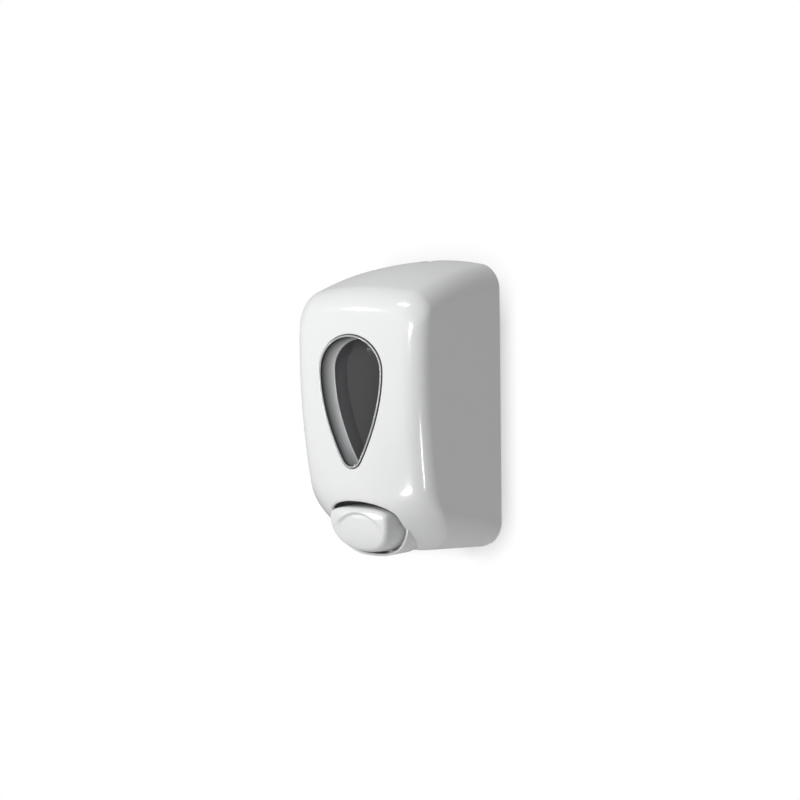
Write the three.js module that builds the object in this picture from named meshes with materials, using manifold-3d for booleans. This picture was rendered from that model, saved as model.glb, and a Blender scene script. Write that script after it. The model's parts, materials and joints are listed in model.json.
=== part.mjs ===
// Wall mounted soap dispenser: a moulded cover on a bottom hinge, a refillable tank, a piston pump
// worked by a push button, and a key lock. Millimetres. The origin is the centre of the wall face,
// y = 0 is the wall, -Y points into the room and +Z up.
import * as THREE from "three";
import { mergeVertices } from "three/addons/utils/BufferGeometryUtils.js";
import Module from "manifold-3d";

const wasm = await Module();
wasm.setup();

// ---- driving dimensions -------------------------------------------------------------------------
const WIDTH = 122; // cover, side to side
const DEPTH = 104.5; // wall to the fullest point of the front
const WALL = 2.5; // moulded wall thickness
const GAP = 0.3; // clearance between pieces that touch on the real object
const TOP = 106.7; // cover, at the top corners; the top edge arches above this
const BOTTOM = -107.5;

const FULLEST = 37; // height at which the front stands out furthest
const LEAN_BELOW = 1100; // radius of the front's curve below that height, side view
const LEAN_ABOVE = 511; // and above it
const CHIN = { from: -60, radius: 34 }; // where the lower front turns back, and how tightly
const CROWN = 290; // radius of the front across the width
const CHIN_CROWN = 0.0096; // extra crown gained towards the bottom
const SIDE_END = 0.87; // share of the depth where the sides end and the front edge begins
const EDGE_IN = 16; // how far the front edge's rounding comes in from each side
const TOP_FALL = [5, 21.3, 13.8]; // fall of the top: straight, curved, and in the front edge
const TOP_ARCH = { rise: 2.9, half: 37 }; // the top edge's arch above its corners
const CHIN_RISE = 26.5; // rise of the bottom in the front edge
const TAPER = [2.4, -5.3]; // how much narrower each side is at the top: wall, then gained forward
const CORNER_TOP = [16.3, 0.4]; // corner radius of the outline: at the wall, then gained forward
const CORNER_LOW = [20.9, 18.2];

const RIM_GAP = 1.5; // the cover's rim stands off the wall
const HINGE = { y: -10, z: BOTTOM + 6, pin: 1.75, bore: 2.05 };
const LUG = { from: 24, to: 29.5, radius: 4 }; // on the cover
const EAR = { from: 30, to: 34, radius: 3, arm: 5 }; // on the wall plate

const DROP = { half: 31.3, wide: 26, top: 53, tip: -45.5 }; // window outline
const CUP_DEPTH = 14; // the window's pane lies this far behind the front
const CUP_DRAFT = 3;

const OPENING = { half: 32.5, middle: -81, top: -69.3, bottom: -109.3, upper: 2, lower: 2.8 };
const LIP_Y = -77; // front of the short collar below the button
const COLLAR = 1.8; // its wall
const THROAT_Y = -57.5; // how far back the opening is cut for the pressed button
const BUTTON = { face: -96, bow: 47, skin: 2.2 };
const BUTTON_FRONT = { half: 28.3, middle: -81.5, top: -73.8, bottom: -107.6, upper: 2.6, lower: 2.4 };
const BUTTON_REAR = { half: 31, middle: -81, top: -71.4, bottom: -107.9, upper: 2.2, lower: 2.7 };
const TRAVEL = 12; // button and plunger

const TANK = { half: 47, rear: -6, front: -80, bottom: -58.2, top: 62, skin: 2 };
const SHELF = { top: -58.5, thick: 2.5, half: 36, front: -74 };
const NECK_Y = -36; // tank outlet, pump inlet and chamber port
const NOZZLE_Y = -52;
const PUMP = { z: -89, outer: 9, bore: 7.5, front: -61.5, rear: -28 };
const LOCK_Y = -16;
const HINGE_LINE = [0, HINGE.y, HINGE.z];

// ---- geometry helpers -----------------------------------------------------------------------------
function solidOf(geometry) {
  const plain = geometry.clone();
  plain.deleteAttribute("normal");
  plain.deleteAttribute("uv");
  const merged = mergeVertices(plain, 1e-4);
  const vertProperties = new Float32Array(merged.attributes.position.array);
  const triVerts = new Uint32Array(merged.index.array);
  return new wasm.Manifold(new wasm.Mesh({ numProp: 3, vertProperties, triVerts }));
}

function geometryOf(solid) {
  const { vertProperties, triVerts } = solid.getMesh();
  const geometry = new THREE.BufferGeometry();
  geometry.setAttribute("position", new THREE.BufferAttribute(new Float32Array(vertProperties), 3));
  geometry.setIndex(new THREE.BufferAttribute(new Uint32Array(triVerts), 1));
  geometry.computeVertexNormals();
  return geometry;
}

// A closed skin through rings of equal point count, with a pole before the first and after the last.
function skinSolid(rings, firstPole, lastPole) {
  const count = rings[0].length;
  const points = [firstPole, ...rings.flat(), lastPole];
  const faces = [];
  const at = (ring, i) => 1 + ring * count + (i % count);
  for (let i = 0; i < count; i++) {
    faces.push(0, at(0, i + 1), at(0, i));
    faces.push(points.length - 1, at(rings.length - 1, i), at(rings.length - 1, i + 1));
    for (let ring = 0; ring < rings.length - 1; ring++) {
      faces.push(at(ring, i), at(ring, i + 1), at(ring + 1, i + 1));
      faces.push(at(ring, i), at(ring + 1, i + 1), at(ring + 1, i));
    }
  }
  const geometry = new THREE.BufferGeometry();
  geometry.setAttribute("position", new THREE.Float32BufferAttribute(points.flat(), 3));
  geometry.setIndex(faces);
  const solid = solidOf(geometry);
  if (solid.volume() > 0) return solid;
  for (let i = 0; i < faces.length; i += 3) [faces[i], faces[i + 1]] = [faces[i + 1], faces[i]];
  geometry.setIndex(faces);
  return solidOf(geometry);
}

function box(x, y, z) {
  const geometry = new THREE.BoxGeometry(x[1] - x[0], y[1] - y[0], z[1] - z[0]);
  geometry.translate((x[0] + x[1]) / 2, (y[0] + y[1]) / 2, (z[0] + z[1]) / 2);
  return solidOf(geometry);
}

// A turned piece: profile is [radius, height] from axis to axis, or a closed loop for a ring.
const TURN_TO = { x: [0, 0, -Math.PI / 2], y: [0, 0, 0], z: [Math.PI / 2, 0, 0] };
function turned(profile, along, place, segments = 24) {
  const outline = profile.map(([radius, height]) => new THREE.Vector2(radius, height));
  if (THREE.ShapeUtils.area(outline) < 0) outline.reverse();
  if (profile[0][0] > 0) outline.push(outline[0].clone());
  const geometry = new THREE.LatheGeometry(outline, segments);
  geometry.rotateX(TURN_TO[along][0]);
  geometry.rotateZ(TURN_TO[along][2]);
  geometry.translate(...place);
  return solidOf(geometry);
}
const rod = (radius, from, to) => [[0, from], [radius, from], [radius, to], [0, to]];
const tube = (inner, outer, from, to) => [[inner, from], [outer, from], [outer, to], [inner, to]];

// An outline in x and z, extruded from y0 to y1.
function slab(shape, y0, y1, curveSegments = 12) {
  const geometry = new THREE.ExtrudeGeometry(shape, { depth: y1 - y0, bevelEnabled: false, curveSegments });
  geometry.rotateX(Math.PI / 2);
  geometry.translate(0, y1, 0);
  return solidOf(geometry);
}

// An outline in y and z, extruded from x0 to x1.
function sideways(outline, x0, x1) {
  const shape = new THREE.Shape(outline.map(([y, z]) => new THREE.Vector2(y, z)));
  const geometry = new THREE.ExtrudeGeometry(shape, { depth: x1 - x0, bevelEnabled: false });
  geometry.rotateX(Math.PI / 2);
  geometry.rotateZ(Math.PI / 2);
  geometry.translate(x0, 0, 0);
  return solidOf(geometry);
}

// An outline in x and y, extruded from z0 to z1.
function column(shape, z0, z1, curveSegments = 6) {
  return solidOf(new THREE.ExtrudeGeometry(shape, { depth: z1 - z0, bevelEnabled: false, curveSegments })
    .translate(0, 0, z0));
}

// The stretch from near to far on one side of the middle, in rising order.
const span = (side, near, far) => (side < 0 ? [-far, -near] : [near, far]);

function roundedShape(x0, x1, z0, z1, radius) {
  const shape = new THREE.Shape();
  shape.moveTo(x0 + radius, z0);
  shape.absarc(x1 - radius, z0 + radius, radius, -Math.PI / 2, 0);
  shape.absarc(x1 - radius, z1 - radius, radius, 0, Math.PI / 2);
  shape.absarc(x0 + radius, z1 - radius, radius, Math.PI / 2, Math.PI);
  shape.absarc(x0 + radius, z0 + radius, radius, Math.PI, Math.PI * 1.5);
  return shape;
}

const group = new THREE.Group();
function add(name, solid, color, roughness, metalness = 0, opacity = 1) {
  const material = new THREE.MeshStandardMaterial({ color, roughness, metalness });
  material.opacity = opacity;
  material.transparent = opacity < 1;
  const mesh = new THREE.Mesh(geometryOf(solid), material);
  mesh.name = name;
  group.add(mesh);
}

const WHITE = "#ecedee";
const NATURAL = "#dcdcd6";
const SMOKE = "#4a4c50";
const RUBBER = "#2a2a2b";
const STEEL = "#b9bcc0";

// ---- the cover's surface --------------------------------------------------------------------------
function frontDepth(x, z) {
  const radius = z < FULLEST ? LEAN_BELOW : LEAN_ABOVE;
  const lean = (FULLEST - z) ** 2 / (2 * radius);
  const chin = Math.max(0, CHIN.from - z) ** 2 / (2 * CHIN.radius);
  const drop = Math.max(0, (FULLEST - z) / (FULLEST - BOTTOM));
  return DEPTH - lean - chin - (x * x / 2) * (1 / CROWN + CHIN_CROWN * drop * drop);
}

// One ring of the cover: along runs from 0 at the wall to 1 at the edge of the front face, and
// inset moves the whole surface inwards for the inner skin.
const SIDE_SHARE = 0.3;
const CORNER_STEPS = 6;
const STRAIGHT_STEPS = [7, 3, 7, 3]; // right side, top, left side, bottom
function coverRing(along, inset) {
  const turn = Math.max(0, (along - SIDE_SHARE) / (1 - SIDE_SHARE)) * Math.PI / 2;
  const edge = 1 - Math.cos(turn);
  const reach = along < SIDE_SHARE
    ? SIDE_END * along / SIDE_SHARE
    : SIDE_END + (1 - SIDE_END) * Math.sin(turn);
  const top = TOP - inset - TOP_FALL[0] * reach - TOP_FALL[1] * reach ** 2 - TOP_FALL[2] * edge;
  const low = BOTTOM + inset + CHIN_RISE * edge;
  const half = WIDTH / 2 - inset - EDGE_IN * edge;
  const halfTop = half - TAPER[0] - TAPER[1] * reach;
  const radiusTop = CORNER_TOP[0] + CORNER_TOP[1] * reach - inset;
  const radiusLow = CORNER_LOW[0] + CORNER_LOW[1] * reach - inset;
  const corners = [
    [half - radiusLow, low + radiusLow, radiusLow, -90],
    [halfTop - radiusTop, top - radiusTop, radiusTop, 0],
    [radiusTop - halfTop, top - radiusTop, radiusTop, 90],
    [radiusLow - half, low + radiusLow, radiusLow, 180],
  ];
  const outline = [];
  corners.forEach(([x, z, radius, from], corner) => {
    for (let i = 0; i <= CORNER_STEPS; i++) {
      const angle = (from + 90 * i / CORNER_STEPS) * Math.PI / 180;
      outline.push([x + radius * Math.cos(angle), z + radius * Math.sin(angle)]);
    }
    const [nextX, nextZ, nextRadius, nextFrom] = corners[(corner + 1) % 4];
    const angle = nextFrom * Math.PI / 180;
    const end = [nextX + nextRadius * Math.cos(angle), nextZ + nextRadius * Math.sin(angle)];
    const start = outline.at(-1);
    for (let i = 1; i < STRAIGHT_STEPS[corner]; i++) {
      const share = i / STRAIGHT_STEPS[corner];
      outline.push([start[0] + (end[0] - start[0]) * share, start[1] + (end[1] - start[1]) * share]);
    }
  });
  return outline.map(([x, flatZ]) => {
    const z = flatZ + TOP_ARCH.rise * Math.max(0, flatZ / TOP) * (1 - (x / TOP_ARCH.half) ** 2);
    return [x, Math.min(-RIM_GAP, -(frontDepth(x, z) - inset) * reach), z];
  });
}

// The whole form filled: rings from the wall to the front face, then the face closing to its middle.
const RING_STEPS = [0, 0.15, 0.3, 0.44, 0.58, 0.72, 0.86, 1];
const FACE_STEPS = [0.84, 0.68, 0.52, 0.36, 0.18];
function coverForm(inset, rearY) {
  const rings = RING_STEPS.map((along) => coverRing(along, inset));
  const edge = rings.at(-1);
  const heights = edge.map(([, , z]) => z);
  const middle = (Math.max(...heights) + Math.min(...heights)) / 2;
  for (const scale of FACE_STEPS) {
    rings.push(edge.map(([x, , z]) => {
      const [faceX, faceZ] = [x * scale, middle + (z - middle) * scale];
      return [faceX, -(frontDepth(faceX, faceZ) - inset), faceZ];
    }));
  }
  rings[0] = rings[0].map(([x, , z]) => [x, rearY, z]);
  return skinSolid(rings, [0, rearY, 0], [0, -(frontDepth(0, middle) - inset), middle]);
}

// ---- outlines ---------------------------------------------------------------------------------------
// The window: a broad round head drawn down to a blunt tip, grown outwards by `grow`.
function dropOutline(grow, steps = 6) {
  const shape = new THREE.Shape();
  const { half, wide, top, tip } = DROP;
  shape.moveTo(0, tip);
  shape.bezierCurveTo(4, tip, 7.5, tip + 1.8, 10.5, tip + 7);
  shape.bezierCurveTo(half - 5, -12, half, wide - 15, half, wide);
  shape.bezierCurveTo(half, wide + 15, half - 14, top, 0, top);
  shape.bezierCurveTo(14 - half, top, -half, wide + 15, -half, wide);
  shape.bezierCurveTo(-half, wide - 15, 5 - half, -12, -10.5, tip + 7);
  shape.bezierCurveTo(-7.5, tip + 1.8, -4, tip, 0, tip);
  const points = shape.getPoints(steps).slice(0, -1);
  return points.map((point, i) => {
    const before = points[(i + points.length - 1) % points.length];
    const after = points[(i + 1) % points.length];
    const along = after.clone().sub(before).normalize();
    return [point.x + grow * along.y, point.y - grow * along.x];
  });
}

// Button, opening and collar share one kind of outline: an oval, widest near its top.
function oval({ half, middle, top, bottom, upper, lower }, grow, count = 36) {
  const points = [];
  for (let i = 0; i < count; i++) {
    const angle = (i / count) * 2 * Math.PI;
    const [across, along] = [Math.cos(angle), Math.sin(angle)];
    const [power, tall] = along >= 0 ? [upper, top - middle] : [lower, middle - bottom];
    points.push([
      (half + grow) * Math.sign(across) * Math.abs(across) ** (2 / power),
      middle + (tall + grow) * Math.sign(along) * Math.abs(along) ** (2 / power),
    ]);
  }
  return points;
}
const shapeOf = (outline) => new THREE.Shape(outline.map(([x, z]) => new THREE.Vector2(x, z)));

// ---- wall plate -------------------------------------------------------------------------------------
const PLATE = { half: 55, top: 100, bottom: -91.5, thick: 3, corner: 25, screws: [[42, 80], [42, -78]] };
const CAM_Z = 84.7;
const KEEPER = { x: [6.5, 11], y: [-23.3, -20.8], foot: 77.5, top: 88 };
{
  const outline = roundedShape(-PLATE.half, PLATE.half, PLATE.bottom, PLATE.top, PLATE.corner);
  let plate = slab(outline, -PLATE.thick, 0);
  plate = plate.add(box([-34.5, 34.5], [-PLATE.thick, 0], [-107, PLATE.bottom + 2]));
  for (const side of [-1, 1]) {
    for (const [x, z] of PLATE.screws) {
      plate = plate.subtract(turned(rod(2.6, -6, 2), "y", [side * x, 0, z], 16));
      plate = plate.subtract(turned(rod(4.8, -6, -1.6), "y", [side * x, 0, z], 16));
    }
    const [near, far] = span(side, EAR.from, EAR.to);
    plate = plate.add(box([near, far], [HINGE.y, -1], [HINGE.z, HINGE.z + EAR.arm]));
    plate = plate.add(turned(rod(EAR.radius, near, far), "x", HINGE_LINE, 20));
    plate = plate.subtract(turned(rod(HINGE.bore, near - 1, far + 1), "x", HINGE_LINE, 20));
    const rail = Math.min(side * 30, side * 33);
    plate = plate.add(box([rail, rail + 3], [-5.6, -1], [-50, 55])); // ribs the tank leans on
  }
  const { top, thick, half, front } = SHELF;
  plate = plate.add(box([-half, half], [front, -1], [top - thick, top]));
  plate = plate.subtract(turned(rod(10.2, top - 5, top + 2), "z", [0, NECK_Y, 0], 28));
  for (const side of [-1, 1]) {
    const gusset = [[-1, top - 1], [-1, top - 22], [-6, top - 22], [front + 6, top - 6], [front + 6, top - 1]];
    plate = plate.add(sideways(gusset, side * 33 - 1.25, side * 33 + 1.25));
  }
  add("wall_plate", plate, WHITE, 0.5);

  // keeper: a bracket on the plate with an upright bar that the lock's cam turns behind
  const foot = -PLATE.thick - 2;
  const arm = [CAM_Z - 3.6, CAM_Z - 1.6];
  let keeper = box(KEEPER.x, [KEEPER.y[0], foot + 1], arm);
  keeper = keeper.add(box(KEEPER.x, KEEPER.y, [arm[0], KEEPER.top]));
  keeper = keeper.add(box(KEEPER.x, [foot, -PLATE.thick - GAP], [KEEPER.foot, arm[1] + 2]));
  add("lock_keeper", keeper, STEEL, 0.35, 1);
}

for (const [name, side] of [["hinge_pin_left", -1], ["hinge_pin_right", 1]]) {
  const shank = turned(rod(HINGE.pin, ...span(side, LUG.from - 0.5, EAR.to + 1)), "x", HINGE_LINE, 20);
  const head = turned(rod(2.8, ...span(side, EAR.to + GAP, EAR.to + 1.5)), "x", HINGE_LINE, 20);
  add(name, shank.add(head), STEEL, 0.3, 1);
}

// ---- tank, lid and outlet ---------------------------------------------------------------------------
const tankShape = (grow) => roundedShape(
  -TANK.half - grow, TANK.half + grow, TANK.front - grow, TANK.rear + grow, 13 + grow,
);
const NECK = [0, NECK_Y, 0];
{
  const { skin, bottom, top } = TANK;
  let tank = column(tankShape(0), bottom, top);
  tank = tank.add(column(tankShape(1.5), top - 2, top));
  tank = tank.subtract(column(tankShape(-skin), bottom + skin, top + 1));
  tank = tank.add(turned(rod(9.5, -69, bottom + 1), "z", NECK, 24));
  tank = tank.subtract(turned(rod(6.5, -70, bottom + skin + 1), "z", NECK, 20));
  add("tank", tank, SMOKE, 0.12, 0, 0.6);

  let lid = column(tankShape(1.2), top + GAP, top + 2);
  lid = lid.add(column(tankShape(-skin - 0.6), top - 8, top + 1));
  lid = lid.subtract(column(tankShape(-skin - 2.4), top - 9, top + GAP));
  lid = lid.add(box([-11, 11], [-72, -69], [top + 1, top + 7]));
  add("tank_lid", lid, SMOKE, 0.3);
}
add("tank_gasket", turned(tube(6.6, 9.2, -70.4, -69.3), "z", NECK, 20), RUBBER, 0.9);
{
  let nut = turned([[6, -74.5], [13.5, -74.5], [13.5, -62], [10, -62], [10, -72.4], [6, -72.4]], "z", NECK, 24);
  for (let i = 0; i < 8; i++) {
    const angle = (i / 8) * 2 * Math.PI;
    const [x, y] = [13.4 * Math.cos(angle), NECK_Y + 13.4 * Math.sin(angle)];
    nut = nut.add(turned(rod(1.4, -74.5, -62), "z", [x, y, 0], 8));
  }
  add("union_nut", nut, NATURAL, 0.5);
}

// ---- pump -------------------------------------------------------------------------------------------
const PUMP_LINE = [0, 0, PUMP.z];
{
  let body = turned(rod(PUMP.outer, PUMP.front, PUMP.rear), "y", PUMP_LINE, 28);
  body = body.add(turned(rod(5.5, -84, -70.7), "z", NECK, 20));
  body = body.add(turned(rod(9.2, -72.1, -70.7), "z", NECK, 20));
  body = body.add(box([-4, 4], [-55.7, -33], [-104, -94]));
  body = body.subtract(turned(rod(PUMP.bore, PUMP.front - 1, PUMP.rear - 2.5), "y", PUMP_LINE, 28));
  body = body.subtract(turned(rod(3.6, -76.5, -70), "z", NECK, 16));
  body = body.subtract(turned(rod(2.2, -83, -76), "z", NECK, 16));
  body = body.subtract(turned(rod(1.8, -101, -95), "z", NECK, 12));
  body = body.subtract(turned(rod(1.8, NOZZLE_Y, -32), "y", [0, 0, -101], 12));
  body = body.subtract(turned(rod(2.6, -105, -100.5), "z", [0, NOZZLE_Y, 0], 16));
  add("pump_body", body, NATURAL, 0.45);
}
const glandProfile = [[3.4, -64], [10.8, -64], [10.8, -56], [9.3, -56], [9.3, -61.8], [3.4, -61.8]];
add("pump_gland", turned(glandProfile, "y", PUMP_LINE, 24), NATURAL, 0.45);
add("gland_seal", turned(tube(3.3, 7.2, -61.3, -59.3), "y", PUMP_LINE, 20), RUBBER, 0.9);
const inletValve = [[0, -73.6], [1.4, -73.6], [2, -72.2], [3.3, -72.2], [3.3, -73.4], [2.4, -73.8],
  [0.5, -76.2], [0, -76.2]];
add("inlet_valve", turned(inletValve, "z", NECK, 16), RUBBER, 0.9);
const plugProfile = [[0, -34.6], [1.5, -34.6], [1.5, -32.7], [3, -32.7], [3, -31.4], [0, -31.4]];
add("channel_plug", turned(plugProfile, "y", [0, 0, -101], 14), NATURAL, 0.45);
{
  const outer = [[0, -109.8], [3.2, -109.8], [3.2, -106.4], [4.2, -106.4], [4.2, -104.3], [2.3, -104.3],
    [2.3, -101.6], [0, -101.6]];
  let nozzle = turned(outer, "z", [0, NOZZLE_Y, 0], 20);
  nozzle = nozzle.subtract(turned(rod(1.2, -111, -101), "z", [0, NOZZLE_Y, 0], 12));
  nozzle = nozzle.subtract(turned(rod(2.4, -111, -105.5), "z", [0, NOZZLE_Y, 0], 16));
  add("outlet_nozzle", nozzle, NATURAL, 0.4);
  const lips = [[0, -110.1], [0.5, -110.1], [1.5, -107.4], [2.1, -107.1], [2.1, -105.8], [0, -105.8]];
  add("outlet_valve", turned(lips, "z", [0, NOZZLE_Y, 0], 14), RUBBER, 0.9);
}

// plunger: cap, rod, piston and its seal, all sliding along the pump's line
const PISTON = { front: -57.5, rear: -51 };
const ROD_FRONT = -78.5;
{
  const { front, rear } = PISTON;
  let cap = turned(rod(6, -80, -76.5), "y", PUMP_LINE, 20);
  cap = cap.subtract(turned(rod(3.3, ROD_FRONT - GAP, -76), "y", PUMP_LINE, 16));
  add("plunger_cap", cap, NATURAL, 0.45);
  const rodProfile = [[0, ROD_FRONT], [3, ROD_FRONT], [3, rear + GAP], [4.6, rear + GAP],
    [4.6, rear + 1.8], [0, rear + 1.8]];
  add("piston_rod", turned(rodProfile, "y", PUMP_LINE, 16), STEEL, 0.25, 1);
  const groove = [front + 1.9, front + 4.5];
  const pistonProfile = [[3.3, front], [7, front], [7, groove[0]], [5.3, groove[0]], [5.3, groove[1]],
    [7, groove[1]], [7, rear], [3.3, rear]];
  add("piston", turned(pistonProfile, "y", PUMP_LINE, 20), NATURAL, 0.45);
  const ring = new THREE.TorusGeometry(6.45, 0.85, 6, 20).rotateX(Math.PI / 2);
  ring.translate(0, (groove[0] + groove[1]) / 2, PUMP.z);
  add("piston_seal", solidOf(ring), RUBBER, 0.9);
}

class Helix extends THREE.Curve {
  constructor(radius, from, to, turns) {
    super();
    Object.assign(this, { radius, from, to, turns });
  }
  getPoint(t, target = new THREE.Vector3()) {
    const angle = t * this.turns * 2 * Math.PI;
    const y = this.from + (this.to - this.from) * t;
    return target.set(this.radius * Math.cos(angle), y, PUMP.z + this.radius * Math.sin(angle));
  }
}
{
  const wire = new THREE.Shape().absarc(0, 0, 0.5, 0, 2 * Math.PI);
  const path = new Helix(6, PUMP.rear - 2.5 - 0.8, PISTON.rear + 0.8, 6);
  const options = { steps: 78, curveSegments: 3, bevelEnabled: false, extrudePath: path };
  add("return_spring", solidOf(new THREE.ExtrudeGeometry(wire, options)), STEEL, 0.3, 1);
}

// ---- cover ------------------------------------------------------------------------------------------
const GUIDE = { x: [15, 43], y: [-56.5, -53.5], z: [-97, -81.5], screw: [38.5, -90] };
const LEG = { x: [18.5, 21.5], z: [-95, -84], rear: -51.5, hook: 1.8 };
const LOCK = [0, LOCK_Y, 0];
const COLLAR_TOP = -88;
{
  const form = coverForm(0, -RIM_GAP);
  let cover = form.subtract(coverForm(WALL, 3));
  cover = cover.subtract(box([-36.2, 36.2], [HINGE.y, 1], [BOTTOM - 5, BOTTOM + 3.5]));
  cover = cover.subtract(box([-WIDTH, WIDTH], [-2.6, 1], [BOTTOM - 5, BOTTOM + 3.5]));
  cover = cover.subtract(slab(shapeOf(dropOutline(0)), -DEPTH - 10, -60));

  // collar: the lower half of a short tube round the opening, running out under the bottom
  const collarRing = (y, rise) => oval(OPENING, COLLAR).map(
    ([x, z]) => [x, y, Math.max(z, z * rise + COLLAR_TOP * (1 - rise))],
  );
  const middle = (OPENING.top + OPENING.bottom) / 2;
  const collarRings = [collarRing(LIP_Y, 1), collarRing(THROAT_Y, 0.96), collarRing(-42, 0.8)];
  let collar = skinSolid(collarRings, [0, LIP_Y, middle], [0, -42, middle]);
  collar = collar.subtract(box([-50, 50], [-80, -30], [COLLAR_TOP, -50]));
  collar = collar.subtract(box([-50, 50], [THROAT_Y, -30], [BOTTOM + 2.6, -50]));
  cover = cover.add(collar);
  cover = cover.subtract(slab(shapeOf(oval(OPENING, 0)), -DEPTH - 10, THROAT_Y));
  cover = cover.subtract(turned(rod(6.5, -115, -100), "z", [0, NOZZLE_Y, 0], 20));

  for (const side of [-1, 1]) {
    const [x, z] = [side * GUIDE.screw[0], GUIDE.screw[1]];
    cover = cover.add(turned(rod(4, -DEPTH, GUIDE.y[0] - GAP), "y", [x, 0, z], 12).intersect(form));
    cover = cover.subtract(turned(rod(1.6, -67, -50), "y", [x, 0, z], 10));
    const [near, far] = span(side, LUG.from, LUG.to);
    cover = cover.add(turned(rod(LUG.radius, near, far), "x", HINGE_LINE, 16));
    cover = cover.add(box([near, far], [HINGE.y - 8, HINGE.y], [BOTTOM + 1.5, HINGE.z]));
    cover = cover.subtract(turned(rod(HINGE.bore, near - 1, far + 1), "x", HINGE_LINE, 16));
  }
  cover = cover.add(turned(rod(8.5, 99, TOP + 5), "z", LOCK, 24).intersect(form));
  cover = cover.subtract(turned(rod(6.1, 103, TOP + 6), "z", LOCK, 24));
  cover = cover.subtract(turned(rod(4.9, 97, TOP), "z", LOCK, 24));
  add("front_cover", cover, WHITE, 0.22);
}

// window: a clear cup whose rim stands in the opening, with a flange behind the cover
{
  const ring = ([grow, depth]) => dropOutline(grow).map(([x, z]) => [x, -(frontDepth(x, z) - depth), z]);
  const centre = (depth) => [0, -(frontDepth(0, 20) - depth), 20];
  const behind = WALL + 0.4;
  const rings = [[-2.2 - CUP_DRAFT, CUP_DEPTH], [-2.2, 0.2], [-1.2, -0.7], [-GAP, 0.1], [-GAP, behind],
    [2.5, behind], [2.5, behind + 1.5], [-1.5, behind + 1.5], [-0.6 - CUP_DRAFT, CUP_DEPTH + 2]].map(ring);
  add("window_lens", skinSolid(rings, centre(CUP_DEPTH), centre(CUP_DEPTH + 2)), SMOKE, 0.05, 0, 0.35);
}

// ---- push button and its guides ---------------------------------------------------------------------
{
  const { face, bow, skin } = BUTTON;
  const faceY = (x, z) => face + Math.max(0, -78 - z) ** 2 / (2 * bow) + (x * x) / 2000;
  const skirtRear = (z) => {
    const share = Math.min(1, Math.max(0, (z + 84) / 7));
    return -70 - 8.6 * share * share * (3 - 2 * share);
  };
  const form = (inset, rear) => {
    const ring = ([grow, back]) => oval(BUTTON_FRONT, grow - inset).map(([x, z]) => [x, faceY(x, z) + back + inset, z]);
    const rings = [[-13, 0], [-8, 0], [-4, 0], [-1.2, 1.2], [0, 4]].map(ring);
    rings.push(oval(BUTTON_REAR, -inset).map(([x, z]) => [x, rear(z), z]));
    const z = BUTTON_FRONT.middle - 6;
    return skinSolid(rings, [0, faceY(0, z) + inset, z], [0, rear(z), z]);
  };
  const outer = form(0, skirtRear);
  let button = outer.subtract(form(skin, () => -66));
  button = button.add(turned(rod(6, face, -80 - GAP), "y", PUMP_LINE, 20).intersect(outer));
  for (const side of [-1, 1]) {
    const [near, far] = LEG.x;
    const leg = box(span(side, near, far), [face, LEG.rear], LEG.z);
    button = button.add(leg.intersect(form(0, () => LEG.rear)));
    button = button.add(box(span(side, far - 0.5, far + LEG.hook), [GUIDE.y[1] + GAP, LEG.rear], [-94, -86]));
  }
  add("push_button", button, WHITE, 0.25);
}

for (const [name, side] of [["left", -1], ["right", 1]]) {
  let guide = slab(roundedShape(...span(side, ...GUIDE.x), ...GUIDE.z, 5), ...GUIDE.y, 3);
  guide = guide.subtract(box(span(side, LEG.x[0] - 0.4, LEG.x[1] + 0.4), [-60, -50], [LEG.z[0] - 0.4, LEG.z[1] + 0.4]));
  const [x, z] = [side * GUIDE.screw[0], GUIDE.screw[1]];
  guide = guide.subtract(turned(rod(1.7, -60, -50), "y", [x, 0, z], 12));
  add(`button_guide_${name}`, guide, NATURAL, 0.45);
  const screwProfile = [[0, -65], [1.3, -65], [1.3, -53.2], [3.2, -53.2], [2.8, -51.3], [0, -51.1]];
  let screw = turned(screwProfile, "y", [x, 0, z], 14);
  screw = screw.subtract(box([x - 1.7, x + 1.7], [-52.1, -50], [z - 0.4, z + 0.4]));
  screw = screw.subtract(box([x - 0.4, x + 0.4], [-52.1, -50], [z - 1.7, z + 1.7]));
  add(`guide_screw_${name}`, screw, STEEL, 0.3, 1);
}

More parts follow.
